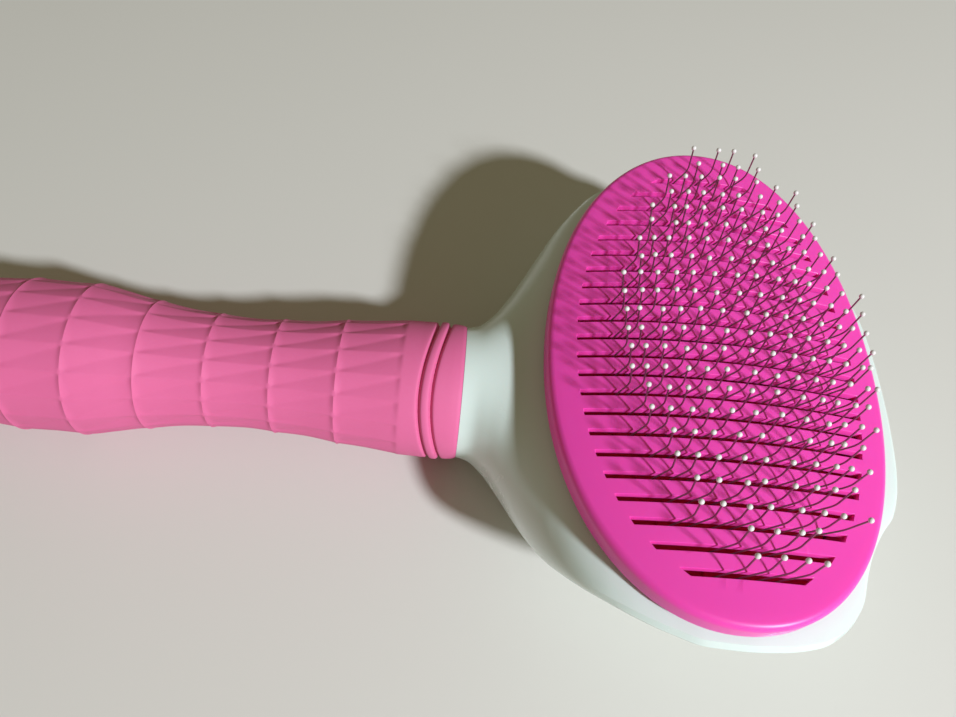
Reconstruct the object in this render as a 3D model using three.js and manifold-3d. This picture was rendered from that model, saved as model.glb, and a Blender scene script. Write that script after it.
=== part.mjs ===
// Self-cleaning slicker brush. Millimetres, +Z up, handle along X.
// All local positions are given in the plate frame: its origin is the crown of the
// cleaning plate's top face, +X runs from the handle to the tip of the head and +Z is
// the direction the pins stand in. The outer group then puts the origin at the bottom
// centre of the whole brush, as it lies on its back with the pins up.
import * as THREE from 'three';
import { mergeVertices } from 'three/addons/utils/BufferGeometryUtils.js';
import Module from 'manifold-3d';

const wasm = await Module();
wasm.setup();

// ---------------------------------------------------------------- dimensions (mm)
const PITCH = 4.3;                 // spacing of the cleaning plate's slots
const ROWS = 22;                   // slots, one row of pins in each
const CROWN_R = 126.1;             // radius that the plate, bed and pin strips are bent to
const PLATE = { a: 54.6, shift: 0.4, b: 34.6, n: 2.09, skirt: 5.1, top: 1.7, wall: 1.7 };
const SLOT = { a: 48.25, b: 28.6, n: 2.1, w: 1.3 };
const BED = { a: 51.4, b: 31.9, top: -7.0, t: 2.6 };
const OPENING = { a: 52.6, b: 33.1, n: 2.09 };
const STRIP = { top: -5.7, bottom: -6.7, w: 5.2 };
const PIN = { r: 0.24, ball: 0.5, bend: 3.9, tip: 11.1 };
const AXIS_Z = -28.0;              // handle axis below the plate's crown
const REST_Z = -44.7;              // lowest level, what the brush lies on
const TRAVEL = 9.0;                // stroke of the cleaning plate
const GAP = 0.3;
const CORE = { r: 9.2, bore: 6.8, x0: -172.5, x1: -39.0 };
const GRIP = { x0: -174.2, x1: -51.2, bore: 9.5 };
const NECK_X = -50.9;
const NECK_SCREW_X = -46.6;
const CENTRE_X = 68.84;            // moves the middle of the brush to X = 0

// The pins are wire staples whose two legs stand in neighbouring slots, so each pair of
// rows shares one list of X positions of the tips, in slot pitches. Pair 1 holds rows 1
// and 2 (+Y end). Each leg leans out to its knee and back from there to its tip.
const STAPLES = [
  [-1.10, 0.10, 0.90, 2.00],
  [-2.57, -1.77, -1.02, -0.08, 0.72, 1.80, 2.85, 3.80],
  [-3.60, -2.48, -1.90, -1.08, -0.15, 0.75, 1.81, 2.60, 3.75, 4.50],
  [-4.20, -3.58, -2.87, -1.94, -1.10, -0.10, 0.93, 1.83, 2.89, 3.66, 4.47, 5.19],
  [-5.02, -4.27, -3.55, -2.71, -1.95, -0.95, 0.07, 0.98, 2.02, 2.83, 3.60, 4.42, 5.25, 5.95],
  [-4.95, -4.35, -3.40, -2.62, -1.78, -0.75, 0.32, 1.20, 2.10, 2.93, 3.80, 4.70, 5.45, 6.10],
  [-4.87, -4.27, -3.49, -2.52, -1.77, -0.94, 0.26, 1.25, 2.18, 3.00, 3.79, 4.59, 5.35, 5.95],
  [-4.23, -3.41, -2.58, -1.80, -0.95, 0.02, 1.10, 2.23, 3.20, 3.87, 4.67, 5.32],
  [-3.33, -2.50, -1.70, -0.68, 0.20, 1.33, 2.23, 3.13, 3.80, 4.60],
  [-2.57, -1.72, -0.75, 0.07, 1.33, 2.22, 3.00, 3.69],
  [-0.80, 0.27, 1.20, 2.05],
];

// Head casing: sections across X, in slot pitches: x, half width, height of the widest
// level, top, bottom, squareness of the upper and lower half.
const HOUSING = [
  [-11.84, 3.46, -6.50, -3.02, -10.02, 2.00, 2.00],
  [-10.60, 4.20, -6.35, -2.97, -10.14, 2.05, 2.00],
  [-9.80, 5.34, -6.05, -2.92, -10.25, 2.10, 2.00],
  [-9.00, 6.68, -5.60, -2.80, -10.38, 2.20, 2.00],
  [-8.20, 8.02, -5.00, -2.56, -10.65, 2.40, 1.95],
  [-7.50, 9.08, -4.30, -2.33, -11.20, 2.70, 1.82],
  [-6.60, 10.12, -3.45, -2.07, -12.50, 3.20, 1.58],
  [-5.00, 11.42, -2.45, -1.75, -13.65, 4.00, 1.36],
  [-2.60, 12.57, -2.02, -1.43, -13.60, 4.00, 1.33],
  [0.50, 13.03, -1.90, -1.32, -12.50, 4.00, 1.52],
  [3.60, 12.62, -2.12, -1.54, -12.20, 4.00, 1.60],
  [4.50, 12.16, -2.24, -1.66, -11.70, 4.00, 1.72],
  [5.80, 10.85, -2.45, -1.89, -10.50, 4.00, 1.95],
  [6.40, 9.40, -2.58, -2.02, -9.95, 4.00, 2.00],
  [7.57, 7.43, -2.82, -2.30, -8.95, 3.80, 2.00],
  [8.49, 6.35, -3.00, -2.55, -7.75, 3.40, 2.00],
  [9.08, 4.86, -3.10, -2.75, -6.40, 3.00, 2.00],
  [9.47, 1.60, -3.16, -3.02, -4.10, 2.30, 2.00],
];

// Grip radius along X, both in slot pitches.
const GRIP_R = [
  [-11.86, 3.50],
  [-12.50, 3.60],
  [-13.30, 3.61],
  [-15.10, 3.54],
  [-17.80, 3.30],
  [-20.45, 3.04],
  [-22.80, 2.93],
  [-25.70, 3.06],
  [-28.30, 3.41],
  [-31.10, 3.93],
  [-33.00, 3.95],
  [-36.20, 3.81],
  [-38.60, 3.45],
  [-40.00, 3.02],
  [-40.51, 2.78],
];

// ---------------------------------------------------------------- helpers
const crown = (x) => -(x * x) / (2 * CROWN_R);

function solid(geometry) {
  const g = geometry.clone();
  g.deleteAttribute('normal');
  g.deleteAttribute('uv');
  const m = mergeVertices(g, 1e-4);
  const idx = m.index.array;
  const p = m.attributes.position;
  const keep = [];
  let volume = 0;
  const [va, vb, vc] = [new THREE.Vector3(), new THREE.Vector3(), new THREE.Vector3()];
  for (let i = 0; i < idx.length; i += 3) {
    const [a, b, c] = [idx[i], idx[i + 1], idx[i + 2]];
    if (a === b || b === c || a === c) continue;
    keep.push(a, b, c);
    va.fromBufferAttribute(p, a); vb.fromBufferAttribute(p, b); vc.fromBufferAttribute(p, c);
    volume += va.dot(vb.cross(vc));
  }
  if (volume < 0) keep.reverse();                    // faces always point outwards
  return new wasm.Manifold(new wasm.Mesh({
    numProp: 3,
    vertProperties: new Float32Array(m.attributes.position.array),
    triVerts: new Uint32Array(keep),
  }));
}

function geometryOf(manifold) {
  const m = manifold.getMesh();
  const g = new THREE.BufferGeometry();
  const pos = new Float32Array((m.vertProperties.length / m.numProp) * 3);
  for (let i = 0; i < pos.length / 3; i++) {
    pos[3 * i] = m.vertProperties[m.numProp * i];
    pos[3 * i + 1] = m.vertProperties[m.numProp * i + 1];
    pos[3 * i + 2] = m.vertProperties[m.numProp * i + 2];
  }
  g.setAttribute('position', new THREE.BufferAttribute(pos, 3));
  g.setIndex(new THREE.BufferAttribute(new Uint32Array(m.triVerts), 1));
  g.computeVertexNormals();
  return g;
}

function outline(a, b, n, count) {
  const pts = [];
  for (let i = 0; i < count; i++) {
    const t = (2 * Math.PI * (i + 0.5)) / count;
    const c = Math.cos(t), s = Math.sin(t);
    pts.push(new THREE.Vector2(
      b * Math.sign(c) * Math.abs(c) ** (2 / n),
      a * Math.sign(s) * Math.abs(s) ** (2 / n)));
  }
  return new THREE.Shape(pts);
}

// Upright prism between two heights.
function prism(shape, z0, z1) {
  const g = new THREE.ExtrudeGeometry(shape, { depth: z1 - z0, bevelEnabled: false });
  g.translate(0, 0, z0);
  return solid(g);
}

// Slab that follows the crown curve, between two offsets below it, over the full width.
function crownSlab(top, bottom, half = 42, steps = 9) {
  const pts = [];
  for (let i = 0; i <= steps; i++) {
    const x = -half + (2 * half * i) / steps;
    pts.push(new THREE.Vector2(x, crown(x) + top));
  }
  if (bottom === null) {
    pts.push(new THREE.Vector2(half, -60), new THREE.Vector2(-half, -60));
  } else {
    for (let i = steps; i >= 0; i--) {
      const x = -half + (2 * half * i) / steps;
      pts.push(new THREE.Vector2(x, crown(x) + bottom));
    }
  }
  const g = new THREE.ExtrudeGeometry(new THREE.Shape(pts), { depth: 140, bevelEnabled: false });
  g.rotateX(Math.PI / 2);
  g.translate(0, 70, 0);
  return solid(g);
}

function cylinderZ(r, z0, z1, x, y, seg = 12) {
  const g = new THREE.CylinderGeometry(r, r, z1 - z0, seg);
  g.rotateX(Math.PI / 2);
  g.translate(x, y, (z0 + z1) / 2);
  return solid(g);
}

function cylinderX(r, x0, x1, seg = 18) {
  const g = new THREE.CylinderGeometry(r, r, x1 - x0, seg);
  g.rotateZ(Math.PI / 2);
  g.translate((x0 + x1) / 2, 0, AXIS_Z);
  return solid(g);
}

function box(x0, x1, y0, y1, z0, z1) {
  const g = new THREE.BoxGeometry(x1 - x0, y1 - y0, z1 - z0);
  g.translate((x0 + x1) / 2, (y0 + y1) / 2, (z0 + z1) / 2);
  return solid(g);
}

// Lathed body about the handle axis from a closed (x, r) profile.
function latheX(profile, seg = 18) {
  const g = new THREE.LatheGeometry(profile.map(([x, r]) => new THREE.Vector2(r, x)), seg);
  g.rotateZ(-Math.PI / 2);
  g.translate(0, 0, AXIS_Z);
  const s = solid(g);
  return s;
}

// Casing body: a cylinder whose rings are moved onto the section table.
function casing(table, around, shrink) {
  const rows = table.length;
  const g = new THREE.CylinderGeometry(1, 1, 1, around, rows - 1);
  const pos = g.attributes.position;
  for (let i = 0; i < pos.count; i++) {
    const v = new THREE.Vector3().fromBufferAttribute(pos, i);
    const row = Math.round((0.5 - v.y) * (rows - 1));
    const [x, w, zw, zt, zb, mt, mb] = table[row];
    const rad = Math.hypot(v.x, v.z);
    if (rad < 0.5) {
      pos.setXYZ(i, x * PITCH, 0, zw * PITCH);
      continue;
    }
    const c = v.x / rad, s = v.z / rad;
    const m = s > 0 ? mt : mb;
    const h = Math.max(0.6, (s > 0 ? zt - zw : zw - zb) * PITCH - shrink);
    const y = (w * PITCH - shrink) * Math.sign(c) * Math.abs(c) ** (2 / m);
    const z = zw * PITCH + h * Math.sign(s) * Math.abs(s) ** (2 / m);
    pos.setXYZ(i, x * PITCH, y, z);
  }
  const m = solid(g);
  return m;
}

const group = new THREE.Group();
group.name = 'slicker_brush';
group.position.set(CENTRE_X, 0, -REST_Z);

function add(name, body, colour, roughness, metalness = 0) {
  const mesh = new THREE.Mesh(geometryOf(body),
    new THREE.MeshStandardMaterial({ color: colour, roughness, metalness }));
  mesh.name = name;
  group.add(mesh);
}

const WHITE = 0xdfe8e2, PINK = 0xd95a98, MAGENTA = 0xdc3f9b, DEEP = 0x8c1450;
const STEEL = 0xb9bcc0, WIRE = 0xa08a92;

// Positions around the pin bed's margin, given by an angle on the margin line.
const margin = (deg) => {
  const t = (deg * Math.PI) / 180;
  return [30.3 * Math.cos(t), 49.9 * Math.sin(t)];
};
const LEGS = [45, 135, 225, 315].map(margin);
const BED_SCREWS = [[0, 48.9], [0, -48.9], [28.3, 17.1], [28.3, -17.1], [-28.3, 17.1], [-28.3, -17.1]];
const COVER_SCREWS = [[17, 25], [17, -25], [-32, 19.5], [-32, -19.5]];
const SPRINGS = [[0, 24], [0, -24]];
const BUTTON_X = -12;

// ---------------------------------------------------------------- cleaning plate
const FRAME_TOP = -24.0, FRAME_BOTTOM = -26.5;
{
  let plate = prism(outline(PLATE.a, PLATE.b, PLATE.n, 44), -14, 3).translate([0, PLATE.shift, 0]).intersect(crownSlab(0, -PLATE.skirt));
  const inside = prism(outline(PLATE.a - PLATE.wall, PLATE.b - PLATE.wall, PLATE.n, 36), -20, 3)
    .translate([0, PLATE.shift, 0])
    .intersect(crownSlab(-PLATE.top, null));
  plate = plate.subtract(inside);
  for (let k = 1; k <= ROWS; k++) {
    const y = (11.5 - k) * PITCH;
    const end = (yy) => SLOT.b * (1 - Math.min(1, Math.abs(yy) / SLOT.a) ** SLOT.n) ** (1 / SLOT.n);
    const y0 = y - SLOT.w / 2, y1 = y + SLOT.w / 2;
    const e0 = end(y0), e1 = end(y1);
    const s = new THREE.Shape([
      new THREE.Vector2(-e0, y0), new THREE.Vector2(e0, y0),
      new THREE.Vector2(e1, y1), new THREE.Vector2(-e1, y1)]);
    plate = plate.subtract(prism(s, -12, 3));
  }
  for (const [x, y] of LEGS) {
    const leg = cylinderZ(2.0, FRAME_TOP + GAP, crown(x) - PLATE.top + 0.6, x, y)
      .subtract(cylinderZ(0.95, FRAME_TOP - 1, FRAME_TOP + 9, x, y, 8));
    plate = plate.add(leg);
  }
  add('cleaning_plate', plate, MAGENTA, 0.3);
}

// ---------------------------------------------------------------- pin bed
{
  let bed = prism(outline(BED.a, BED.b, PLATE.n, 32), -20, 3).intersect(crownSlab(BED.top, BED.top - BED.t));
  for (const [x, y] of LEGS) bed = bed.subtract(cylinderZ(2.7, -20, 0, x, y));
  for (const [x, y] of BED_SCREWS) bed = bed.subtract(cylinderZ(1.35, -20, 0, x, y, 8));
  for (const [x, y] of SPRINGS) bed = bed.add(cylinderZ(2.6, BED.top - BED.t - 1.5, BED.top - BED.t + 0.6, x, y));
  add('pin_bed', bed, DEEP, 0.5);
}

// ---------------------------------------------------------------- pin strips
STAPLES.forEach((xs, i) => {
  const yPair = (11 - (2 * i + 1)) * PITCH;          // midway between the two rows
  const x0 = xs[0] * PITCH - 2.2, x1 = xs[xs.length - 1] * PITCH + 0.6;
  const pts = [];
  const steps = Math.max(3, Math.round((x1 - x0) / 7));
  for (let s = 0; s <= steps; s++) {
    const x = x0 + ((x1 - x0) * s) / steps;
    pts.push(new THREE.Vector2(x, crown(x) + STRIP.top));
  }
  for (let s = steps; s >= 0; s--) {
    const x = x0 + ((x1 - x0) * s) / steps;
    pts.push(new THREE.Vector2(x, crown(x) + STRIP.bottom + 0.02));
  }
  const g = new THREE.ExtrudeGeometry(new THREE.Shape(pts), { depth: STRIP.w, bevelEnabled: false });
  g.rotateX(Math.PI / 2);
  g.translate(0, yPair + STRIP.w / 2, 0);
  let strip = solid(g);
  for (const row of [0, 1]) {
    const y = yPair + (row ? -0.5 : 0.5) * PITCH;
    for (const xp of xs) {
      const x = xp * PITCH;
      const tip = PIN.tip, base = STRIP.top - 0.45;
      const foot = (-0.30 - 0.065 * xp) * PITCH, knee = (0.15 - 0.03 * xp) * PITCH;
      const profile = [[0, base], [PIN.r, base], [PIN.r, PIN.bend], [PIN.ball, tip - 0.6], [0, tip]];
      const p = new THREE.LatheGeometry(profile.map(([r, z]) => new THREE.Vector2(r, z)), 3);
      p.rotateX(Math.PI / 2);
      const a = p.attributes.position;
      for (let v = 0; v < a.count; v++) {
        const z = a.getZ(v);
        const lean = z <= 0 ? foot : z <= PIN.bend ? foot + (z / PIN.bend) * (knee - foot)
          : knee * (1 - (z - PIN.bend) / (tip - PIN.bend));
        a.setXYZ(v, a.getX(v) + x + lean, a.getY(v) + y, z + crown(x));
      }
      strip = strip.add(solid(p));
    }
  }
  add(`pin_strip_${String(i + 1).padStart(2, '0')}`, strip, WIRE, 0.35, 0.8);
});

// ---------------------------------------------------------------- casing
const outer = casing(HOUSING, 24, 0);
const midWall = casing(HOUSING, 20, 1.15);
const INNER = HOUSING.filter((r) => r[0] > -9.3 && r[0] < 8.8)
  .map(([x, w, zw, zt, zb, mt, mb]) => [x, w, zw - 0.25, zt - 0.25, zb, mt, mb]);
const inner = casing(INNER, 18, 2.3).intersect(box(-60, 50, -70, 70, REST_Z + 2.3, 10));
const aboveRest = box(-60, 50, -70, 70, REST_Z, 10);
const SPLIT_Z = -38.0, SPLIT_X = -37.5;
const outerCut = outer.intersect(aboveRest);
const midCut = midWall.intersect(box(-60, 50, -70, 70, REST_Z + 1.1, 10));
{
  let h = outerCut.subtract(inner);
  // mouth that the cleaning plate sits over
  h = h.subtract(prism(outline(OPENING.a, OPENING.b, OPENING.n, 40), -20, 3));
  // brackets that carry the pin bed
  for (const [x, y] of BED_SCREWS) {
    const sx = Math.sign(x), sy = Math.sign(y);
    const zTop = crown(Math.abs(x) + (x === 0 ? 3 : 4)) + BED.top - BED.t - 0.35;
    const b = x === 0
      ? box(-3.1, 3.1, Math.min(sy * 45.4, sy * 56), Math.max(sy * 45.4, sy * 56), zTop - 4.6, zTop)
      : box(Math.min(sx * 24.8, sx * 41.5), Math.max(sx * 24.8, sx * 41.5), y - 3.15, y + 3.15, zTop - 5.3, zTop);
    h = h.add(b.intersect(midCut));
    h = h.subtract(cylinderZ(1.15, zTop - 4.2, zTop + 1, x, y, 8));
  }
  // back opening and the brackets that take the cover's screws
  h = h.subtract(box(SPLIT_X, 50, -70, 70, -60, SPLIT_Z));
  for (const [x, y] of COVER_SCREWS) {
    const sy = Math.sign(y);
    const b = box(x - 3.6, x + 3.6, Math.min(sy * 15.9, sy * 50), Math.max(sy * 15.9, sy * 50), SPLIT_Z, SPLIT_Z + 5)
      .intersect(midCut);
    h = h.add(b).subtract(cylinderZ(1.15, SPLIT_Z - 1, SPLIT_Z + 4, x, y, 8));
  }
  // socket for the handle core and its locking screw
  h = h.subtract(cylinderX(CORE.r + GAP, NECK_X - 2, -37.5));
  h = h.subtract(cylinderZ(1.5, -46, -34, NECK_SCREW_X, 0, 10)).subtract(cylinderZ(3.0, -46, -41.2, NECK_SCREW_X, 0, 10));
  add('head_housing', h, WHITE, 0.25);

  let c = outerCut.intersect(box(SPLIT_X + GAP, 50, -70, 70, -60, SPLIT_Z - GAP)).subtract(inner);
  const bt = outline(13.3, 16.3, 2.6, 32);
  const hole = prism(bt, -60, -30);
  c = c.subtract(hole.translate([BUTTON_X, 0, 0]));
  for (const [x, y] of COVER_SCREWS) {
    const post = cylinderZ(3.4, -43.6, SPLIT_Z - GAP, x, y, 10).intersect(midCut);
    c = c.add(post).subtract(cylinderZ(1.35, -60, -30, x, y, 8)).subtract(cylinderZ(2.6, -60, -40.7, x, y, 10));
  }
  add('back_cover', c, WHITE, 0.25);
}

// ---------------------------------------------------------------- push frame and button
{
  const mid = new THREE.Shape([
    [-9, -28], [9, -28], [9, 28], [-9, 28]].map(([x, y]) => new THREE.Vector2(x, y)));
  let f = prism(mid, FRAME_BOTTOM, FRAME_TOP);
  f = f.add(box(-19, 2, -9, 9, FRAME_BOTTOM, FRAME_TOP));
  for (const [x, y] of LEGS) {
    const sx = Math.sign(x), sy = Math.sign(y);
    const arm = new THREE.Shape([[sx * 5, sy * 20], [sx * 5, sy * 27.8], [x - sx * 2.4, y + sy * 2.6],
      [x + sx * 2.6, y + sy * 1.6], [x + sx * 1.6, y - sy * 3.2], [sx * 8.8, sy * 20]]
      .map(([p, q]) => new THREE.Vector2(p, q)));
    f = f.add(prism(arm, FRAME_BOTTOM, FRAME_TOP));
    f = f.subtract(cylinderZ(1.15, -40, -20, x, y, 8));
  }
  for (const [x, y] of SPRINGS) f = f.add(cylinderZ(2.6, FRAME_TOP - 0.6, FRAME_TOP + 2.4, x, y));
  f = f.subtract(cylinderZ(1.35, -40, -20, BUTTON_X, 0, 8));
  add('push_frame', f, WHITE, 0.45);

  let b = prism(outline(12.9, 15.9, 2.6, 32), REST_Z + 0.5, REST_Z + 8.5);
  b = b.subtract(prism(outline(11.2, 14.2, 2.6, 24), REST_Z + 2.9, REST_Z + 12));
  b = b.add(cylinderZ(4.2, REST_Z + 2.0, FRAME_BOTTOM - GAP, 0, 0, 14));
  b = b.subtract(cylinderZ(1.0, FRAME_BOTTOM - 10, FRAME_BOTTOM + 2, 0, 0, 8));
  add('push_button', b.translate([BUTTON_X, 0, 0]), PINK, 0.6);
}

// ---------------------------------------------------------------- return springs
SPRINGS.forEach(([x, y], i) => {
  class Helix extends THREE.Curve {
    getPoint(t, target = new THREE.Vector3()) {
      const turns = 4, a = 2 * Math.PI * turns * t;
      const z0 = FRAME_TOP + 0.75, z1 = BED.top - BED.t - 0.75;
      return target.set(x + 3.6 * Math.cos(a), y + 3.6 * Math.sin(a), z0 + (z1 - z0) * t);
    }
  }
  const ring = [];
  for (let k = 0; k < 3; k++) {
    const a = (2 * Math.PI * (k + 0.5)) / 3;
    ring.push(new THREE.Vector2(0.42 * Math.cos(a), 0.42 * Math.sin(a)));
  }
  const g = new THREE.ExtrudeGeometry(new THREE.Shape(ring), { steps: 26, extrudePath: new Helix(), bevelEnabled: false });
  add(`return_spring_${i + 1}`, solid(g), STEEL, 0.3, 0.9);
});

// ---------------------------------------------------------------- screws
function screw(name, x, y, headZ, up, shankR, length, headR) {
  // up = 1: head on top, shank pointing down; up = -1: head below, shank pointing up
  const head = up > 0 ? cylinderZ(headR, headZ, headZ + 1.3, x, y, 8) : cylinderZ(headR, headZ - 1.3, headZ, x, y, 8);
  const shank = up > 0 ? cylinderZ(shankR, headZ - length, headZ + 0.5, x, y, 6) : cylinderZ(shankR, headZ - 0.5, headZ + length, x, y, 6);
  add(name, head.add(shank), STEEL, 0.3, 0.9);
}
BED_SCREWS.forEach(([x, y], i) => screw(`bed_screw_${i + 1}`, x, y, crown(Math.max(0, Math.abs(x) - 2.2)) + BED.top + GAP, 1, 0.85, 6.0, 2.1));
LEGS.forEach(([x, y], i) => screw(`plate_screw_${i + 1}`, x, y, FRAME_BOTTOM - GAP, -1, 0.65, 9, 1.9));
COVER_SCREWS.forEach(([x, y], i) => screw(`cover_screw_${i + 1}`, x, y, -40.7 - GAP, -1, 0.85, 5.6, 2.2));
screw('button_screw', BUTTON_X, 0, FRAME_TOP + GAP, 1, 0.7, 10, 2.4);
screw('neck_screw', NECK_SCREW_X, 0, -41.2 - GAP, -1, 1.1, 6.3, 2.6);

// ---------------------------------------------------------------- handle
{
  let core = cylinderX(CORE.r, CORE.x0, CORE.x1).subtract(cylinderX(CORE.bore, CORE.x0 - 5, CORE.x1 + 5));
  core = core.subtract(cylinderZ(1.4, -46, -30, NECK_SCREW_X, 0, 10));
  add('handle_core', core, WHITE, 0.4);

  const prof = [];
  for (const [x, r] of GRIP_R) prof.push([x * PITCH, r * PITCH]);
  // two shallow grooves round the front collar
  const groove = (x) => [[x + 0.7, 3.59 * PITCH], [x + 0.3, 3.59 * PITCH - 0.7], [x - 0.3, 3.59 * PITCH - 0.7], [x - 0.7, 3.60 * PITCH]];
  prof.splice(2, 0, ...groove(-54.8), ...groove(-57.6));
  const x0 = GRIP.x0, x1 = GRIP.x1;
  const closed = [[x1, GRIP.bore], ...prof, [x0, 2.78 * PITCH], [x0, GRIP.bore], [x1, GRIP.bore]];
  const clean = closed.filter((p, i) => i === 0 || Math.hypot(p[0] - closed[i - 1][0], p[1] - closed[i - 1][1]) > 0.05);
  add('grip_sleeve', latheX(clean.reverse()), PINK, 0.65);

  const e = x0 - GAP;
  add('end_cap', latheX([[e - 3.9, 0], [e - 3.7, 4.0], [e - 2.9, 7.6], [e - 1.6, 10.2], [e, 11.9], [e, 6.4], [e + 9, 6.4], [e + 9, 0]].reverse(), 18), PINK, 0.6);
}

export default group;
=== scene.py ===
import math
import bpy
import numpy as np
from mathutils import Matrix, Vector


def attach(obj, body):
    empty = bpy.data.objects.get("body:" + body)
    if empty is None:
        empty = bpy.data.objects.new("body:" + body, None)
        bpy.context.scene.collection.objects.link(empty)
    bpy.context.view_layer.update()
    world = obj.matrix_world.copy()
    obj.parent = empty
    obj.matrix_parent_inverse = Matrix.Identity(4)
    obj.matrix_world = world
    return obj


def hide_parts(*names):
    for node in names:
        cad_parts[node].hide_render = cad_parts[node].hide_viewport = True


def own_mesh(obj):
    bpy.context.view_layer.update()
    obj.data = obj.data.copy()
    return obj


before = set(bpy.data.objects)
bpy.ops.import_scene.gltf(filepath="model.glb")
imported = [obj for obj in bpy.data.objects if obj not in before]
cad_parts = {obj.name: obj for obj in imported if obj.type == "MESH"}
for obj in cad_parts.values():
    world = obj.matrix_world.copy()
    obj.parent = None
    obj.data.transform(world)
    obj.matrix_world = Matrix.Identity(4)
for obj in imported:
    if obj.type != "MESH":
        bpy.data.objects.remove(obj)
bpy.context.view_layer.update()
scene = bpy.context.scene

# Lengths are millimetres in the plate's own frame: its crown is the origin, +X
# runs from handle to head, +Z up through the pins. OFF moves them to the row frame.
P = 4.3
OFF = np.array([68.84, 0.0, 44.7])
CROWN_R = 126.1
AXIS_Z = -28.0
REST_Z = -44.7
GAP = 0.3
SPLIT_Z, SPLIT_X = -38.0, -37.5
FRAME_TOP, FRAME_BOTTOM = -24.0, -26.5
BUTTON_X = -12.0
NECK_SCREW_X = -46.6
LEGS = [(30.3 * math.cos(math.radians(d)), 49.9 * math.sin(math.radians(d))) for d in (45, 135, 225, 315)]
COVER_SCREWS = [(17, 25), (17, -25), (-32, 19.5), (-32, -19.5)]


def crown(x):
    return -(np.asarray(x, float) ** 2) / (2 * CROWN_R)


# ------------------------------------------------------------------ small tools
def pchip(xs, ys, q):
    xs, ys, q = (np.asarray(v, float) for v in (xs, ys, q))
    h = np.diff(xs)
    d = np.diff(ys) / h
    m = np.zeros_like(ys)
    for i in range(1, len(xs) - 1):
        if d[i - 1] * d[i] > 0:
            w1, w2 = 2 * h[i] + h[i - 1], h[i] + 2 * h[i - 1]
            m[i] = (w1 + w2) / (w1 / d[i - 1] + w2 / d[i])
    for end, (h0, h1, d0, d1) in ((0, (h[0], h[1], d[0], d[1])), (-1, (h[-1], h[-2], d[-1], d[-2]))):
        v = ((2 * h0 + h1) * d0 - h0 * d1) / (h0 + h1)
        if v * d0 <= 0:
            v = 0.0
        elif d0 * d1 <= 0 and abs(v) > 3 * abs(d0):
            v = 3 * d0
        m[end] = v
    i = np.clip(np.searchsorted(xs, q, side="right") - 1, 0, len(xs) - 2)
    t = (q - xs[i]) / h[i]
    t2, t3 = t * t, t * t * t
    return ((2 * t3 - 3 * t2 + 1) * ys[i] + (t3 - 2 * t2 + t) * h[i] * m[i]
            + (-2 * t3 + 3 * t2) * ys[i + 1] + (t3 - t2) * h[i] * m[i + 1])


def volume(verts, faces):
    v = np.asarray(verts, float)
    total = 0.0
    for n in sorted(set(len(f) for f in faces)):
        f = np.array([g for g in faces if len(g) == n])
        for i in range(1, n - 1):
            total += float(np.einsum("ij,ij->i", v[f[:, 0]], np.cross(v[f[:, i]], v[f[:, i + 1]])).sum())
    return total / 6


def make(name, verts, faces, sharp=30.0):
    """A mesh object from plate-frame millimetres, outward faces, shaded smooth up to the given angle."""
    if volume(verts, faces) < 0:
        faces = [tuple(reversed(f)) for f in faces]
    me = bpy.data.meshes.new(name)
    me.from_pydata(((np.asarray(verts, float) + OFF) * 0.001).tolist(), [], faces)
    me.update()
    o = bpy.data.objects.new(name, me)
    scene.collection.objects.link(o)
    shade(o, sharp)
    return o


def shade(o, sharp=30.0):
    o.data.polygons.foreach_set("use_smooth", [True] * len(o.data.polygons))
    o.data.set_sharp_from_angle(angle=math.radians(sharp))
    o.data.update()


def loft(rings, closed=False, start=0, caps=True):
    """Quads between rings of equal count; closed joins the last ring to the first, else the ends are capped."""
    rings = np.asarray(rings, float)
    n, m, _ = rings.shape
    verts = rings.reshape(-1, 3).tolist()
    faces = []
    for i in range(n if closed else n - 1):
        a, b = i * m + start, ((i + 1) % n) * m + start
        for j in range(m):
            k = (j + 1) % m
            faces.append((a + j, a + k, b + k, b + j))
    if not closed and caps:
        for i, flip in ((0, True), (n - 1, False)):
            c = len(verts) + start
            verts.append(rings[i].mean(0).tolist())
            for j in range(m):
                k = (j + 1) % m
                f = (c, i * m + start + j, i * m + start + k)
                faces.append(tuple(reversed(f)) if flip else f)
    return verts, faces


def join_parts(parts):
    verts, faces = [], []
    for v, f in parts:
        n = len(verts)
        verts += v
        faces += [tuple(i + n for i in g) for g in f]
    return verts, faces


def boolean(o, cutter, op="DIFFERENCE"):
    mod = o.modifiers.new("b", "BOOLEAN")
    mod.operation = op
    mod.solver = "EXACT"
    mod.object = cutter
    dg = bpy.context.evaluated_depsgraph_get()
    dg.update()
    me = bpy.data.meshes.new_from_object(o.evaluated_get(dg))
    old = o.data
    o.modifiers.clear()
    o.data = me
    bpy.data.meshes.remove(old)
    dead = cutter.data
    bpy.data.objects.remove(cutter)
    bpy.data.meshes.remove(dead)


def copy_of(o, name):
    c = bpy.data.objects.new(name, o.data.copy())
    scene.collection.objects.link(c)
    return c


def rounded(a, b, n, count):
    """Outline points of |x/b|^n + |y/a|^n = 1, evenly spaced along it."""
    t = np.linspace(0, math.pi / 2, 900)
    x, y = b * np.cos(t) ** (2 / n), a * np.sin(t) ** (2 / n)
    s = np.concatenate([[0], np.cumsum(np.hypot(np.diff(x), np.diff(y)))])
    q = np.linspace(0, s[-1], count // 4 + 1)
    qx, qy = np.interp(q, s, x), np.interp(q, s, y)
    out = []
    for k in range(4):
        for i in range(count // 4):
            px, py = (qx[i], qy[i]) if k % 2 == 0 else (qx[-1 - i], qy[-1 - i])
            out.append(((1, -1, -1, 1)[k] * px, (1, 1, -1, -1)[k] * py))
    return np.array(out)


def prism(name, outline, z0, z1):
    outline = np.asarray(outline, float)
    rings = [np.column_stack([outline, np.full(len(outline), z)]) for z in (z0, z1)]
    return make(name, *loft(rings))


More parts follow.
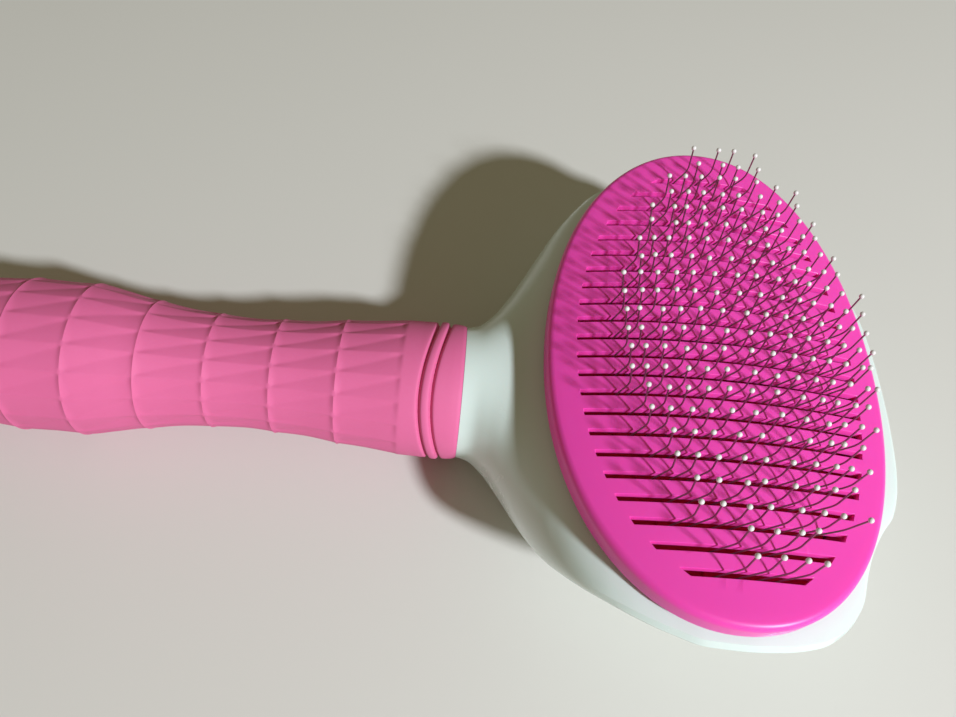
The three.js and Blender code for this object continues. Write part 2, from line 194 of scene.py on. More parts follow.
def box(name, x0, x1, y0, y1, z0, z1):
    return prism(name, [(x0, y0), (x1, y0), (x1, y1), (x0, y1)], z0, z1)


def circle(r, x, y, n):
    t = np.arange(n) * 2 * math.pi / n
    return np.column_stack([x + r * np.cos(t), y + r * np.sin(t)])


def drum(name, r, z0, z1, x, y, n=32):
    return prism(name, circle(r, x, y, n), z0, z1)


def lathe_z(profile, x, y, n=40):
    """Closed body of revolution about a vertical line, from (r, z) pairs; r is zero at both ends."""
    rings = [np.column_stack([circle(max(r, 1e-4), x, y, n), np.full(n, z)]) for r, z in profile]
    return loft(rings)


def lathe_x(profile, n=96):
    rings = []
    t = np.arange(n) * 2 * math.pi / n
    for x, r in profile:
        r = max(r, 1e-4)
        rings.append(np.column_stack([np.full(n, x), -r * np.cos(t), AXIS_Z + r * np.sin(t)]))
    return loft(rings)


def arc(cx, cz, r, a0, a1, n):
    t = np.radians(np.linspace(a0, a1, n))
    return [(cx + r * math.cos(v), cz + r * math.sin(v)) for v in t]


# ------------------------------------------------------------------ finishes
def srgb(r, g, b):
    def lin(c):
        c /= 255.0
        return c / 12.92 if c <= 0.04045 else ((c + 0.055) / 1.055) ** 2.4
    return (lin(r), lin(g), lin(b), 1.0)


def finish_of(name, colour, rough, metallic=0.0, grain=900.0, depth=0.06, spread=0.08, coat=0.0,
              coat_rough=0.05, scatter=0.0, radius=(0.0012, 0.0008, 0.0006), ior=1.46, wave=0.0, specular=0.5, distance=0.00012, detail=4.0):
    """A finish with its own grain: noise drives the roughness about its mean and a fine relief."""
    m = bpy.data.materials.new(name)
    m.use_nodes = True
    nt = m.node_tree
    b = nt.nodes["Principled BSDF"]
    b.inputs["Base Color"].default_value = colour
    b.inputs["Metallic"].default_value = metallic
    b.inputs["IOR"].default_value = ior
    b.inputs["Specular IOR Level"].default_value = specular
    b.inputs["Coat Weight"].default_value = coat
    b.inputs["Coat Roughness"].default_value = coat_rough
    if scatter:
        b.inputs["Subsurface Weight"].default_value = scatter
        b.inputs["Subsurface Radius"].default_value = radius
        b.inputs["Subsurface Scale"].default_value = 1.0
    tc = nt.nodes.new("ShaderNodeTexCoord")
    n1 = nt.nodes.new("ShaderNodeTexNoise")
    n1.inputs["Scale"].default_value = grain * 0.12
    n1.inputs["Detail"].default_value = 6.0
    n1.inputs["Roughness"].default_value = 0.6
    mr = nt.nodes.new("ShaderNodeMapRange")
    mr.inputs["From Min"].default_value = 0.3
    mr.inputs["From Max"].default_value = 0.7
    mr.inputs["To Min"].default_value = max(0.02, rough - spread)
    mr.inputs["To Max"].default_value = min(1.0, rough + spread)
    nt.links.new(tc.outputs["Object"], n1.inputs["Vector"])
    nt.links.new(n1.outputs["Fac"], mr.inputs["Value"])
    nt.links.new(mr.outputs["Result"], b.inputs["Roughness"])
    n2 = nt.nodes.new("ShaderNodeTexNoise")
    n2.inputs["Scale"].default_value = grain
    n2.inputs["Detail"].default_value = detail
    bump = nt.nodes.new("ShaderNodeBump")
    bump.inputs["Strength"].default_value = depth
    bump.inputs["Distance"].default_value = distance
    nt.links.new(tc.outputs["Object"], n2.inputs["Vector"])
    nt.links.new(n2.outputs["Fac"], bump.inputs["Height"])
    nt.links.new(bump.outputs["Normal"], b.inputs["Normal"])
    return m


WHITE = finish_of("casing_white", srgb(218, 232, 225), 0.24, grain=260, depth=0.05, spread=0.05, coat=0.2, scatter=0.06)
MAGENTA = finish_of("plate_magenta", srgb(247, 74, 180), 0.36, grain=220, depth=0.05, spread=0.06, coat=0.0, scatter=0.22, radius=(0.0035, 0.0005, 0.0011))
CRIMSON = finish_of("bed_crimson", srgb(232, 0, 78), 0.5, grain=500, depth=0.1, spread=0.08, scatter=0.2, radius=(0.003, 0.0003, 0.0006))
STRIP = finish_of("strip_crimson", srgb(225, 0, 74), 0.5, grain=600, depth=0.1, spread=0.08)
INNER = finish_of("inner_plastic", srgb(222, 226, 224), 0.45, grain=500, depth=0.12, spread=0.08)
RUBBER = finish_of("grip_rubber", srgb(220, 105, 152), 0.66, grain=1500, depth=0.2, spread=0.07, scatter=0.08, distance=0.00008, specular=0.35)
BUTTON = finish_of("button_rubber", srgb(220, 105, 152), 0.5, grain=1200, depth=0.25, spread=0.07)
WIRE = finish_of("pin_wire", srgb(150, 138, 134), 0.40, metallic=1.0, grain=2500, depth=0.1, spread=0.08, distance=0.00003)
PEARL = finish_of("pin_bead", srgb(232, 229, 226), 0.3, grain=2200, depth=0.08, spread=0.06, coat=0.4, distance=0.00003)
STEEL = finish_of("steel", srgb(190, 192, 196), 0.28, metallic=1.0, grain=1800, depth=0.12, spread=0.08, distance=0.00003)


def dress(o, *materials):
    o.data.materials.clear()
    for m in materials:
        o.data.materials.append(m)


def show(o, body, nodes, slot, *materials):
    dress(o, *materials)
    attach(o, body)
    if nodes:
        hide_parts(*nodes)
    return o


# ------------------------------------------------------------------ casing
# Sections across X, in slot pitches: x, half width, height of the widest line, top,
# bottom, and how square the upper and lower halves are.
SECTIONS = np.array([
    [-11.84, 3.46, -6.5, -3.02, -10.02, 2, 2],
    [-11.3, 3.6, -6.48, -3, -10.06, 2, 2],
    [-10.6, 4.2, -6.35, -2.97, -10.14, 2.05, 2],
    [-9.8, 5.34, -6.05, -2.92, -10.25, 2.1, 2],
    [-9, 6.68, -5.6, -2.8, -10.38, 2.2, 2],
    [-8.2, 8.02, -5, -2.56, -10.65, 2.4, 1.95],
    [-7.5, 9.08, -4.3, -2.33, -11.2, 2.7, 1.82],
    [-6.6, 10.12, -3.45, -2.07, -12.5, 3.2, 1.58],
    [-5.8, 10.86, -2.85, -1.9, -13.3, 3.6, 1.44],
    [-5, 11.42, -2.45, -1.75, -13.65, 4, 1.36],
    [-4.1, 11.94, -2.2, -1.6, -13.7, 4, 1.33],
    [-2.6, 12.57, -2.02, -1.43, -13.6, 4, 1.33],
    [-1.2, 12.96, -1.93, -1.34, -13.1, 4, 1.4],
    [0.5, 13.03, -1.9, -1.32, -12.5, 4, 1.52],
    [1.9, 12.95, -1.97, -1.38, -12.3, 4, 1.56],
    [3.6, 12.62, -2.12, -1.54, -12.2, 4, 1.6],
    [4.5, 12.16, -2.24, -1.66, -11.7, 4, 1.72],
    [5.17, 11.63, -2.34, -1.77, -11.1, 4, 1.84],
    [5.8, 10.85, -2.45, -1.89, -10.5, 4, 1.95],
    [6.4, 9.4, -2.58, -2.02, -9.95, 4, 2],
    [6.9, 8.4, -2.7, -2.14, -9.5, 4, 2],
    [7.57, 7.43, -2.82, -2.3, -8.95, 3.8, 2],
    [8.49, 6.35, -3, -2.55, -7.75, 3.4, 2],
    [9.08, 4.86, -3.1, -2.75, -6.4, 3, 2],
    [9.36, 3.19, -3.14, -2.9, -5.1, 2.6, 2],
    [9.47, 1.6, -3.16, -3.02, -4.1, 2.3, 2],
    [9.49, 0.05, -3.16, -3.13, -3.3, 2, 2],
])


def smooth_sections(rows):
    s = SECTIONS.copy()
    chord = np.concatenate([[0], np.cumsum(np.sqrt((np.diff(s[:, :5], axis=0) ** 2).sum(1)))])
    q = np.linspace(0, chord[-1], rows)
    return np.column_stack([pchip(chord, s[:, i], q) for i in range(7)])


def section_ring(row, shrink, quarter=34):
    x, w, zw, zt, zb, mt, mb = row
    W = max(w * P - shrink, 0.05)
    up = max((zt - w * 0 - zw) * P - shrink, 0.05)
    dn = max((zw - zb) * P - shrink, 0.05)
    t = np.linspace(0, math.pi / 2, 500)

    def quarter_of(h, m):
        y, z = W * np.cos(t) ** (2 / m), h * np.sin(t) ** (2 / m)
        s = np.concatenate([[0], np.cumsum(np.hypot(np.diff(y), np.diff(z)))])
        q = np.linspace(0, s[-1], quarter + 1)
        return np.interp(q, s, y), np.interp(q, s, z)

    uy, uz = quarter_of(up, mt)
    dy, dz = quarter_of(dn, mb)
    y = np.concatenate([uy[:-1], -uy[::-1][:-1], -dy[:-1], dy[::-1][:-1]])
    z = np.concatenate([uz[:-1], uz[::-1][:-1], -dz[:-1], -dz[::-1][:-1]]) + zw * P
    return np.column_stack([np.full(len(y), x * P), y, z])


table = smooth_sections(170)
outer_rings = np.array([section_ring(r, 0.0) for r in table])
outer_rings[:, :, 2] = np.maximum(outer_rings[:, :, 2], REST_Z)
keep = [r for r in smooth_sections(90) if -9.05 <= r[0] <= 8.5]
inner_rings = np.array([section_ring(np.concatenate([r[:2], [r[2] - 0.25, r[3] - 0.25], [r[4]], r[5:]]), 2.3, 20)
                        for r in keep])
inner_rings[:, :, 2] = np.maximum(inner_rings[:, :, 2], REST_Z + 2.3)
shell = make("head_housing_v", *loft(outer_rings))
boolean(shell, make("cavity", *loft(inner_rings)))
boolean(shell, prism("mouth", rounded(52.6, 33.1, 2.09, 160), -15, 3))
cover = copy_of(shell, "back_cover_v")
boolean(shell, box("low", SPLIT_X, 60, -80, 80, -60, SPLIT_Z))
boolean(cover, box("keep", SPLIT_X + GAP, 60, -80, 80, -60, SPLIT_Z - GAP), "INTERSECT")
# socket for the handle core, its locking screw and the screw's seat
core_hole = make("bore", *lathe_x([(-53.5, 0), (-53.5, 9.5), (-37.4, 9.5), (-37.4, 0)], 64))
boolean(shell, core_hole)
boolean(shell, drum("hole", 1.5, -47, -34, NECK_SCREW_X, 0))
boolean(shell, drum("seat", 3.0, -47, -41.2, NECK_SCREW_X, 0, 40))
boolean(cover, prism("button_hole", rounded(13.3, 16.3, 2.6, 96) + [BUTTON_X, 0], -60, -30))
for sx, sy in COVER_SCREWS:
    post = drum("post", 3.4, -43.9, SPLIT_Z - GAP, sx, sy)
    boolean(cover, post, "UNION")
    boolean(cover, drum("hole", 1.35, -60, -30, sx, sy, 24))
    boolean(cover, drum("seat", 2.6, -60, -40.7, sx, sy, 32))
shade(shell, 32)
shade(cover, 32)
show(shell, "casing", ["head_housing"], "casing_plastic", WHITE)
show(cover, "casing", ["back_cover"], "casing_plastic", WHITE)

# ------------------------------------------------------------------ cleaning plate
PA, PB, PN, PY = 54.6, 34.6, 2.09, 0.4
FILLET, WALL, TOP, SKIRT = 1.4, 1.7, 1.7, 5.1
rings = []


def plate_ring(inset, z_of):
    o = rounded(PA - inset, PB - inset, PN, 176) + [0, PY]
    return np.column_stack([o, crown(o[:, 0]) + z_of])


def scaled_ring(f, inset, z_of):
    o = rounded(PA - inset, PB - inset, PN, 176) * f + [0, PY]
    return np.column_stack([o, crown(o[:, 0]) + z_of])


for f in (0.02, 0.12, 0.24, 0.36, 0.48, 0.58, 0.68, 0.77, 0.85, 0.92, 0.965):
    rings.append(scaled_ring(f, FILLET, 0))
for k in range(0, 9):
    a = math.radians(90 - 90 * k / 8)
    rings.append(plate_ring(FILLET - FILLET * math.cos(a), -FILLET + FILLET * math.sin(a)))
rings.append(plate_ring(0, -3.2))
rings.append(plate_ring(0, -SKIRT + 0.3))
rings.append(plate_ring(0.3, -SKIRT))
rings.append(plate_ring(WALL - 0.2, -SKIRT))
rings.append(plate_ring(WALL, -SKIRT + 0.2))
rings.append(plate_ring(WALL, -3.0))
rings.append(plate_ring(WALL, -TOP - 0.5))
rings.append(plate_ring(WALL + 0.5, -TOP))
for f in (0.9, 0.75, 0.6, 0.45, 0.3, 0.15, 0.03):
    rings.append(scaled_ring(f, WALL + 0.5, -TOP))
plate = make("cleaning_plate_v", *loft(rings))


def slot_end(y):
    return 28.6 * (1 - min(1.0, abs(y) / 48.25) ** 2.1) ** (1 / 2.1)


HALF = [(-0.66, -4.0), (-0.66, -0.14), (-0.69, -0.06), (-0.76, 0.0), (-0.86, 0.06), (-1.0, 0.9)]
LIP = [0.0, 0.0, 0.03, 0.1, 0.2, 0.3]
cutters = []
for k in range(1, 23):
    y0 = (11.5 - k) * P
    sec = HALF + [(-a, b) for a, b in reversed(HALF)]
    lips = LIP + LIP[::-1]
    rr = []
    N = 44
    for i in range(N + 1):
        u = -1 + 2 * i / N
        ring = []
        for (dy, dz), lip in zip(sec, lips):
            x = u * (slot_end(y0 + dy * 0.8) + lip)
            ring.append((x, y0 + dy, float(crown(x)) + dz))
        rr.append(ring)
    cutters.append(loft(rr))
boolean(plate, make("slots", *join_parts(cutters)))
for lx, ly in LEGS:
    boolean(plate, drum("leg", 2.0, FRAME_TOP + GAP, float(crown(lx)) - TOP + 0.6, lx, ly), "UNION")
    boolean(plate, drum("leg_hole", 0.95, FRAME_TOP - 1, FRAME_TOP + 9, lx, ly, 20))
shade(plate, 30)
show(plate, "cleaning_slide", ["cleaning_plate"], "plate_plastic", MAGENTA)

# ------------------------------------------------------------------ pins
# For each of the 22 rows, the pins' tip positions along X and heights above the plate, in slot pitches.
PINS = [
    [(-1.21, 2.525), (0.07, 2.534), (0.85, 2.577), (2.0, 2.5)],
    [(-1.04, 2.474), (0.18, 2.517), (0.98, 2.494), (2.03, 2.526)],
    [(-2.58, 2.512), (-1.8, 2.539), (-1.03, 2.555), (-0.12, 2.588), (0.69, 2.615), (1.77, 2.611), (2.85, 2.5), (3.95, 2.153)],
    [(-2.55, 2.478), (-1.73, 2.509), (-1.0, 2.517), (-0.05, 2.507), (0.74, 2.553), (1.82, 2.637), (2.85, 2.5), (3.8, 2.5)],
    [(-3.54, 2.549), (-2.48, 2.503), (-1.91, 2.523), (-1.09, 2.546), (-0.18, 2.604), (0.74, 2.624), (1.8, 2.618), (2.57, 2.614), (3.75, 2.5), (4.5, 2.5)],
    [(-3.65, 2.632), (-2.48, 2.49), (-1.89, 2.502), (-1.07, 2.497), (-0.12, 2.581), (0.76, 2.588), (1.82, 2.601), (2.61, 2.637), (3.75, 2.528), (4.38, 2.563)],
    [(-4.23, 2.492), (-3.58, 2.525), (-2.9, 2.532), (-1.97, 2.573), (-1.13, 2.59), (-0.14, 2.619), (0.89, 2.615), (1.78, 2.601), (2.84, 2.588), (3.64, 2.545), (4.47, 2.592), (5.2, 2.537)],
    [(-4.17, 2.407), (-3.58, 2.508), (-2.85, 2.496), (-1.91, 2.506), (-1.07, 2.458), (-0.07, 2.528), (0.97, 2.506), (1.89, 2.564), (2.94, 2.52), (3.69, 2.546), (4.47, 2.566), (5.18, 2.585)],
    [(-5.03, 2.469), (-4.28, 2.489), (-3.52, 2.488), (-2.68, 2.512), (-1.94, 2.554), (-0.96, 2.56), (0.08, 2.591), (0.94, 2.649), (2.0, 2.649), (2.8, 2.65), (3.49, 2.648), (4.41, 2.609), (5.25, 2.5), (6.26, 2.593)],
    [(-5.02, 2.37), (-4.26, 2.478), (-3.59, 2.477), (-2.75, 2.552), (-1.95, 2.536), (-0.95, 2.501), (0.06, 2.574), (1.02, 2.616), (2.04, 2.623), (2.86, 2.636), (3.56, 2.595), (4.42, 2.626), (5.25, 2.5), (6.1, 2.554)],
    [(-4.96, 2.424), (-4.42, 2.486), (-3.4, 2.446), (-2.64, 2.491), (-1.79, 2.571), (-0.8, 2.542), (0.3, 2.525), (1.17, 2.559), (2.07, 2.581), (2.88, 2.617), (3.8, 2.5), (4.69, 2.522), (5.32, 2.589), (6.1, 2.5)],
    [(-4.94, 2.413), (-4.38, 2.451), (-3.39, 2.431), (-2.59, 2.509), (-1.77, 2.542), (-0.7, 2.48), (0.34, 2.508), (1.22, 2.536), (2.1, 2.577), (2.97, 2.589), (3.89, 2.578), (4.71, 2.535), (5.51, 2.471), (6.2, 2.494)],
    [(-4.86, 2.502), (-4.26, 2.506), (-3.47, 2.517), (-2.51, 2.429), (-1.8, 2.551), (-0.96, 2.566), (0.24, 2.584), (1.21, 2.538), (2.17, 2.548), (3.02, 2.549), (3.78, 2.564), (4.59, 2.567), (5.41, 2.559), (5.78, 2.628)],
    [(-4.87, 2.476), (-4.27, 2.485), (-3.5, 2.506), (-2.52, 2.453), (-1.74, 2.476), (-0.91, 2.523), (0.28, 2.49), (1.3, 2.426), (2.19, 2.472), (3.01, 2.497), (3.79, 2.506), (4.59, 2.573), (5.47, 2.506), (5.91, 2.569)],
    [(-4.27, 2.615), (-3.41, 2.497), (-2.63, 2.524), (-1.8, 2.538), (-0.96, 2.613), (0.01, 2.589), (1.06, 2.656), (2.23, 2.536), (3.11, 2.55), (3.81, 2.521), (4.64, 2.548), (5.23, 2.588)],
    [(-4.19, 2.569), (-3.42, 2.515), (-2.54, 2.504), (-1.79, 2.507), (-0.94, 2.582), (0.04, 2.573), (1.14, 2.604), (2.23, 2.503), (3.26, 2.405), (3.93, 2.516), (4.71, 2.558), (5.41, 2.522)],
    [(-3.37, 2.537), (-2.53, 2.503), (-1.77, 2.517), (-0.72, 2.487), (0.18, 2.544), (1.3, 2.518), (2.19, 2.543), (3.1, 2.583), (3.67, 2.604), (4.53, 2.582)],
    [(-3.29, 2.502), (-2.48, 2.487), (-1.64, 2.415), (-0.64, 2.492), (0.23, 2.486), (1.37, 2.476), (2.28, 2.531), (3.16, 2.543), (3.81, 2.55), (4.65, 2.521)],
    [(-2.61, 2.525), (-1.74, 2.462), (-0.61, 2.348), (0.01, 2.581), (1.29, 2.478), (2.15, 2.525), (2.91, 2.541), (3.69, 2.679)],
    [(-2.54, 2.55), (-1.7, 2.513), (-0.65, 2.438), (0.13, 2.533), (1.37, 2.523), (2.29, 2.508), (3.12, 2.453), (3.69, 2.5)],
    [(-0.81, 2.66), (0.21, 2.607), (1.15, 2.673), (1.72, 2.874)],
    [(-0.66, 2.597), (0.33, 2.63), (1.28, 2.578), (2.05, 2.5)],
]


def tube(path, r, sides=8):
    path = np.asarray(path, float)
    tan = np.gradient(path, axis=0)
    tan /= np.linalg.norm(tan, axis=1)[:, None]
    side = np.array([0.0, 1.0, 0.0])
    rings = []
    for p, t in zip(path, tan):
        a = side - np.dot(side, t) * t
        a /= np.linalg.norm(a)
        b = np.cross(t, a)
        ang = np.arange(sides) * 2 * math.pi / sides
        rings.append(p + r * (np.cos(ang)[:, None] * a + np.sin(ang)[:, None] * b))
    return loft(rings)


def ball(c, r, n=16, m=10):
    rings = []
    for i in range(1, m):
        a = math.pi * i / m
        rings.append(np.column_stack([circle(r * math.sin(a), c[0], c[1], n), np.full(n, c[2] + r * math.cos(a))]))
    v, f = loft(rings)
    v[-2] = [c[0], c[1], c[2] + r]
    v[-1] = [c[0], c[1], c[2] - r]
    return v, f


def pin(xt, h, yk, stand=None):
    """A bent wire that rises from its strip, leans toward the head, then stands back up to its bead."""
    xs = xt * P
    x0 = xt if stand is None else stand
    h = max(h, 2.42)
    foot = np.array([(x0 - 0.30 - 0.065 * x0) * P, yk, float(crown(xs))])
    knee = np.array([(x0 + 0.15 - 0.03 * x0) * P + (xs - x0 * P) * 0.35, yk, float(crown(xs)) + 3.9])
    tip = np.array([xs, yk + 0.3 * (h - 2.5) * P, float(crown(xs)) + h * P - 0.25])
    d0 = (knee - foot) / np.linalg.norm(knee - foot)
    base = foot - d0 * (6.15 / d0[2])
    d1 = (tip - knee) / np.linalg.norm(tip - knee)
    a, b = knee - d0 * 1.5, knee + d1 * 1.5
    pts = [base, foot - d0 * 2.0, foot, foot + (a - foot) * 0.6]
    for t in np.linspace(0, 1, 7):
        pts.append((1 - t) ** 2 * a + 2 * t * (1 - t) * knee + t * t * b)
    pts += [b + (tip - b) * 0.35, b + (tip - b) * 0.7, tip]
    return pts, tip


for i in range(11):
    parts, index = [], []
    ypair = (11 - (2 * i + 1)) * P
    xs_all = [p[0] for p in PINS[2 * i]]
    x0, x1 = xs_all[0] * P - 2.2, xs_all[-1] * P + 0.6
    # carrier strip with rounded long edges
    rr = []
    for s in range(13):
        x = x0 + (x1 - x0) * s / 12
        z = float(crown(x))
        sec = [(-2.6, -6.64), (-2.6, -5.9), (-2.5, -5.76), (-2.36, -5.7), (2.36, -5.7), (2.5, -5.76), (2.6, -5.9), (2.6, -6.64)]
        rr.append([(x, ypair + dy, z + dz) for dy, dz in sec])
    v, f = loft(rr)
    parts.append((v, f))
    index += [2] * len(f)
    for row in (0, 1):
        yk = ypair + (0.5 if row == 0 else -0.5) * P
        for j, (xt, h) in enumerate(PINS[2 * i + row]):
            lean = (4.3, 2.42, yk, xt) if (i, row, j) == (9, 1, 7) else (xt, h, yk)
            path, tip = pin(*lean)
            v, f = tube(path, 0.175)
            parts.append((v, f))
            index += [0] * len(f)
            v, f = ball(tip, 0.52)
            parts.append((v, f))
            index += [1] * len(f)
    fixed = []
    for v, f in parts:
        fixed.append((v, f if volume(v, f) > 0 else [tuple(reversed(g)) for g in f]))
    v, f = join_parts(fixed)
    o = make("pins_%02d" % (i + 1), v, f, 40)
    dress(o, WIRE, PEARL, STRIP)
    o.data.polygons.foreach_set("material_index", index)
    o.data.update()
    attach(o, "casing")
    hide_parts("pin_strip_%02d" % (i + 1))

# ------------------------------------------------------------------ grip
GRIP = np.array([(-11.86, 3.5), (-12.05, 3.56), (-12.5, 3.6), (-13.3, 3.61), (-15.1, 3.54), (-17.8, 3.3), (-20.45, 3.04), (-22.8, 2.93), (-24.3, 2.95), (-25.7, 3.06), (-28.3, 3.41), (-29.7, 3.72), (-31.1, 3.93), (-33, 3.95), (-36.2, 3.81), (-38.6, 3.45), (-40, 3.02), (-40.51, 2.78)])[::-1]
RIDGES = [-64.1, -77.9, -92.0, -106.0, -119.8, -133.4, -146.8, -160.0]
GROOVES = [-60.05, -57.45]
xs = sorted(set([round(v, 4) for v in np.concatenate([
    np.arange(-174.2, -160, 0.7), np.arange(-160, -64.1, 0.5), np.arange(-64.1, -61.4, 0.4),
    np.arange(-61.4, -52.0, 0.16), np.arange(-52.0, -51.0, 0.08), [-51.0]])] + RIDGES))
xs = [x for i, x in enumerate(xs) if x in RIDGES or i == 0 or min(abs(x - r) for r in RIDGES) > 0.12]
NA = 360
phi = np.arange(NA) * 2 * math.pi / NA
DEPTH, RISE = 0.32, 0.22


def facets(u):
    """Relief of one band, u from its handle-side ridge to its head-side ridge. Eighteen crests run along the
    handle. From each crest a face falls away and another climbs to the next crest; the first face narrows to
    a point at the head side and the second at the handle side."""
    s = ((90.0 - np.degrees(phi)) % 20.0) / 20.0
    valley = 1.0 - (0.05 + 0.90 * u)
    h = np.where(s < valley, s / valley, (1 - s) / (1 - valley))
    h = np.where(h > 0.86, 0.86 + 0.09 * np.sin((h - 0.86) / 0.14 * math.pi / 2), h)
    e = min(1.0, u / 0.10, (1 - u) / 0.07)
    e = e * e * (3 - 2 * e)
    return -DEPTH * e * h


grip_rings = []
for x in xs:
    r = np.full(NA, float(pchip(GRIP[:, 0] * P, GRIP[:, 1] * P, [x])[0]))
    for lo_, hi_ in zip(RIDGES[1:], RIDGES[:-1]):
        if lo_ <= x <= hi_:
            u = (x - lo_) / (hi_ - lo_)
            r = r + facets(u) + RISE * (abs(2 * u - 1) ** 1.7 - 0.5)
    if x > RIDGES[0]:
        r = r + RISE * 0.5 * max(0.0, 1 - (x - RIDGES[0]) / 3.5)
    if x < RIDGES[-1]:
        r = r + RISE * 0.5 * max(0.0, 1 - (RIDGES[-1] - x) / 6)
    sway = 2.9 * (1 - np.cos(2 * (phi - math.radians(56)))) / 2
    mid = (GROOVES[0] + GROOVES[1]) / 2 + sway
    t = (x - mid) / 1.3
    r = r + 0.20 * np.clip(1 - t * t, 0, 1)
    for g in GROOVES:
        d = np.abs(x - (g + sway))
        r = r - 0.85 * np.exp(-(d / 0.34) ** 2) - 0.10 * np.exp(-(d / 0.8) ** 2)
    grip_rings.append(np.column_stack([np.full(NA, x), -r * np.cos(phi), AXIS_Z + r * np.sin(phi)]))


def plain(x, r):
    return np.column_stack([np.full(NA, x), -r * np.cos(phi), AXIS_Z + r * np.sin(phi)])


front_r = 3.50 * P
grip_rings += [plain(-50.95, front_r - 0.22), plain(-50.93, front_r - 0.8), plain(-50.93, 9.5), plain(-51.8, 9.5), plain(-112, 9.5),
               plain(-173.6, 9.5), plain(-174.2, 9.5), plain(-174.2, 11.2)]
grip = make("grip_v", *loft(grip_rings, closed=True), 42)
show(grip, "casing", ["grip_sleeve"], "grip_rubber", RUBBER)

# end cap: a shallow dome with a rounded rim and a spigot into the grip
dome = [(-165.2, 0), (-165.2, 5.6), (-165.6, 6.4), (-174.5, 6.4), (-174.5, 10.9)]
dome += [(-175.1 + 0.6 * math.sin(math.radians(a)), 11.3 + 0.6 * math.cos(math.radians(a))) for a in (90, 60, 30, 0)]
for k in range(1, 13):
    a = math.radians(90 * k / 12)
    dome.append((-175.2 - 3.2 * math.sin(a), 11.9 * math.cos(a) ** 0.8 if k < 12 else 0.0))
cap = make("end_cap_v", *lathe_x(dome, 96), 35)
show(cap, "casing", ["end_cap"], "grip_rubber", RUBBER)

# ------------------------------------------------------------------ button
bz0, bz1 = REST_Z + 0.5, REST_Z + 8.5
rr = []
for f in (0.05, 0.3, 0.55, 0.78):
    o = rounded((12.9 - 0.9) * f, (15.9 - 0.9) * f, 2.6, 96)
    rr.append(np.column_stack([o, np.full(len(o), bz0 + 0.45 * (1 - f * f) )]))
for k in range(7):
    a = math.radians(90 * k / 6)
    o = rounded(12.9 - 0.9 + 0.9 * math.sin(a), 15.9 - 0.9 + 0.9 * math.sin(a), 2.6, 96)
    rr.append(np.column_stack([o, np.full(len(o), bz0 + 0.9 - 0.9 * math.cos(a))]))
rr.append(np.column_stack([rounded(12.9, 15.9, 2.6, 96), np.full(96, bz1)]))
rr.append(np.column_stack([rounded(11.2, 14.2, 2.6, 96), np.full(96, bz1)]))
rr.append(np.column_stack([rounded(11.2, 14.2, 2.6, 96), np.full(96, bz0 + 2.4)]))
rr.append(np.column_stack([rounded(4.2, 4.2, 2.0, 96), np.full(96, bz0 + 2.4)]))
rr.append(np.column_stack([rounded(4.2, 4.2, 2.0, 96), np.full(96, FRAME_BOTTOM - GAP)]))
rr.append(np.column_stack([rounded(1.0, 1.0, 2.0, 96), np.full(96, FRAME_BOTTOM - GAP)]))
rr.append(np.column_stack([rounded(1.0, 1.0, 2.0, 96), np.full(96, FRAME_BOTTOM - 10)]))
button = make("push_button_v", *loft([r + [BUTTON_X, 0, 0] for r in rr]), 35)
for bx in (-6, -2, 2, 6):
    groove = box("g", BUTTON_X + bx - 0.45, BUTTON_X + bx + 0.45, -7.5, 7.5, REST_Z - 2, bz0 + 0.75)
    boolean(button, groove)
shade(button, 35)
show(button, "cleaning_slide", ["push_button"], "button_plastic", BUTTON)

# ------------------------------------------------------------------ screws that can be seen
def screw_body(name, x, y, seat, length, shank, head):
    """Pan head below its seat, threaded shank above it, cross recess in the head."""
    prof = [(0.0, seat - 1.3), (head * 0.55, seat - 1.3), (head * 0.85, seat - 1.18), (head * 0.97, seat - 0.8), (head, seat - 0.4),
            (head, seat), (shank, seat)]
    z, pitch = seat + 0.3, 0.9
    while z < seat + length - 1.0:
        prof += [(shank * 0.82, z), (shank, z + pitch * 0.4)]
        z += pitch
    prof += [(shank * 0.7, seat + length - 0.5), (0.0, seat + length)]
    o = make(name, *lathe_z(prof, x, y, 32), 35)
    for w, l in ((0.36, 1.25), (1.25, 0.36)):
        boolean(o, box("c", x - w * head / 2.2, x + w * head / 2.2, y - l * head / 2.2, y + l * head / 2.2, seat - 3, seat - 0.6))
    shade(o, 35)
    return o


for i, (sx, sy) in enumerate(COVER_SCREWS):
    o = screw_body("cover_screw_v%d" % (i + 1), sx, sy, -40.7 - GAP, 5.6, 0.85, 2.2)
    show(o, "casing", ["cover_screw_%d" % (i + 1)], "steel", STEEL)
o = screw_body("neck_screw_v", NECK_SCREW_X, 0, -41.2 - GAP, 6.3, 1.1, 2.6)
show(o, "casing", ["neck_screw"], "steel", STEEL)

# ------------------------------------------------------------------ return springs
for i, sy in enumerate((24, -24)):
    pts = []
    for k in range(4 * 28 + 1):
        a = 2 * math.pi * k / 28
        t = k / (4 * 28)
        flat = min(1.0, max(0.0, (t - 0.10) / 0.80))
        pts.append([3.6 * math.cos(a), sy + 3.6 * math.sin(a), -23.25 + (-10.35 + 23.25) * (0.06 * t + 0.94 * flat)])
    o = make("return_spring_v%d" % (i + 1), *tube(pts, 0.42, 10), 40)
    show(o, "casing", ["return_spring_%d" % (i + 1)], "steel", STEEL)
    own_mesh(o)

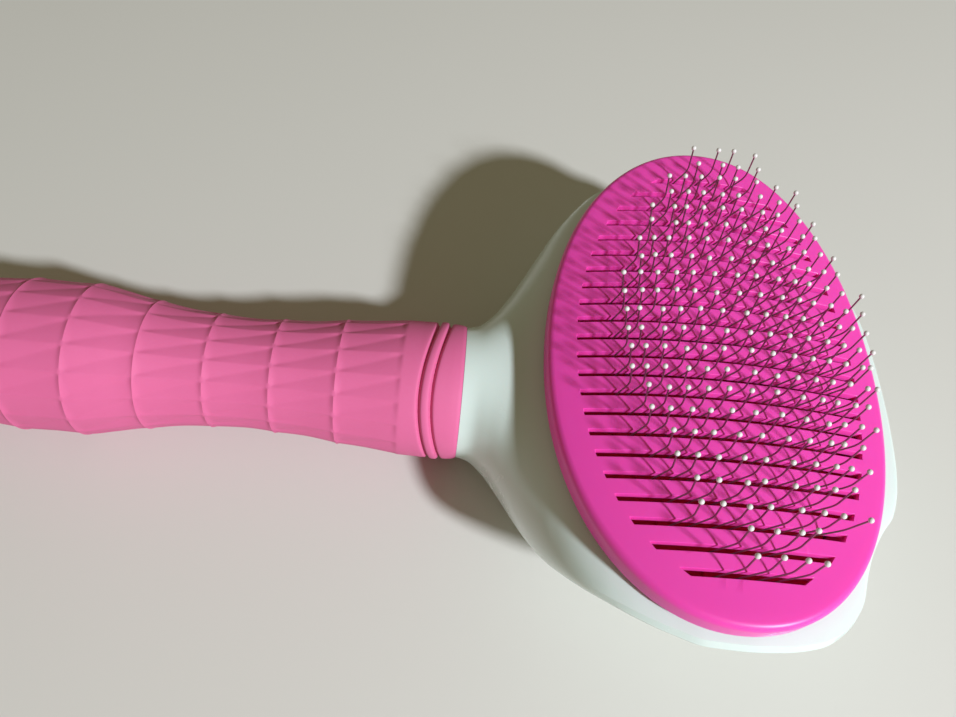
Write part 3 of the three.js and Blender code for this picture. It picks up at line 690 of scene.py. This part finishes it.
# ------------------------------------------------------------------ nodes kept from the part
for name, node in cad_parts.items():
    if name == "pin_bed":
        dress(node, CRIMSON)
    elif name in ("push_frame", "handle_core"):
        dress(node, INNER)
    elif "spring" in name or "screw" in name:
        dress(node, STEEL)
    else:
        dress(node, WHITE)

# ------------------------------------------------------------------ table, light, camera
def stage_mesh(name, verts, faces):
    me = bpy.data.meshes.new(name)
    me.from_pydata(verts, [], faces)
    o = bpy.data.objects.new(name, me)
    scene.collection.objects.link(o)
    return o


floor = stage_mesh("table_top", [(-3, -3, 0), (3, -3, 0), (3, 3, 0), (-3, 3, 0)], [(0, 1, 2, 3)])
dress(floor, finish_of("table", srgb(214, 212, 204), 0.55, grain=60, depth=0.03, spread=0.06))

world = bpy.data.worlds.new("w")
scene.world = world
world.use_nodes = True
bg = world.node_tree.nodes["Background"]
bg.inputs["Color"].default_value = (1.0, 0.90, 0.56, 1.0)
bg.inputs["Strength"].default_value = 0.18

target = Vector((0.055, 0.0, 0.03))


def area(name, direction, distance, size, power, colour):
    d = Vector(direction).normalized()
    light = bpy.data.lights.new(name, "AREA")
    light.shape = "DISK"
    light.size = size
    light.energy = power
    light.color = colour
    o = bpy.data.objects.new(name, light)
    scene.collection.objects.link(o)
    o.location = target + d * distance
    o.rotation_euler = (-d).to_track_quat("-Z", "Y").to_euler()
    return o


area("key", (0.732 + 0.0138, -0.703, 0.816 + 0.0147), 1.31, 0.11, 22.5, (0.88, 0.92, 1.0))

R = np.array([[0.9948865, 0.05996589, 0.08127082], [0.09291859, -0.85880817, -0.50380023], [0.03958522, 0.50877561, -0.8599886]])
C = (np.array([-12.7096, -19.0320, 29.3578]) * P + OFF) * 0.001
cam_data = bpy.data.cameras.new("camera")
cam_data.sensor_fit = "HORIZONTAL"
cam_data.sensor_width = 36.0
cam_data.lens = 28.497
cam_data.clip_start = 0.01
cam = bpy.data.objects.new("camera", cam_data)
scene.collection.objects.link(cam)
M = Matrix.Identity(4)
for c, axis in enumerate((R[0], -R[1], -R[2])):
    for r in range(3):
        M[r][c] = float(axis[r])
for r in range(3):
    M[r][3] = float(C[r])
cam.matrix_world = M
scene.camera = cam
scene.view_settings.view_transform = "Standard"
scene.view_settings.look = "None"
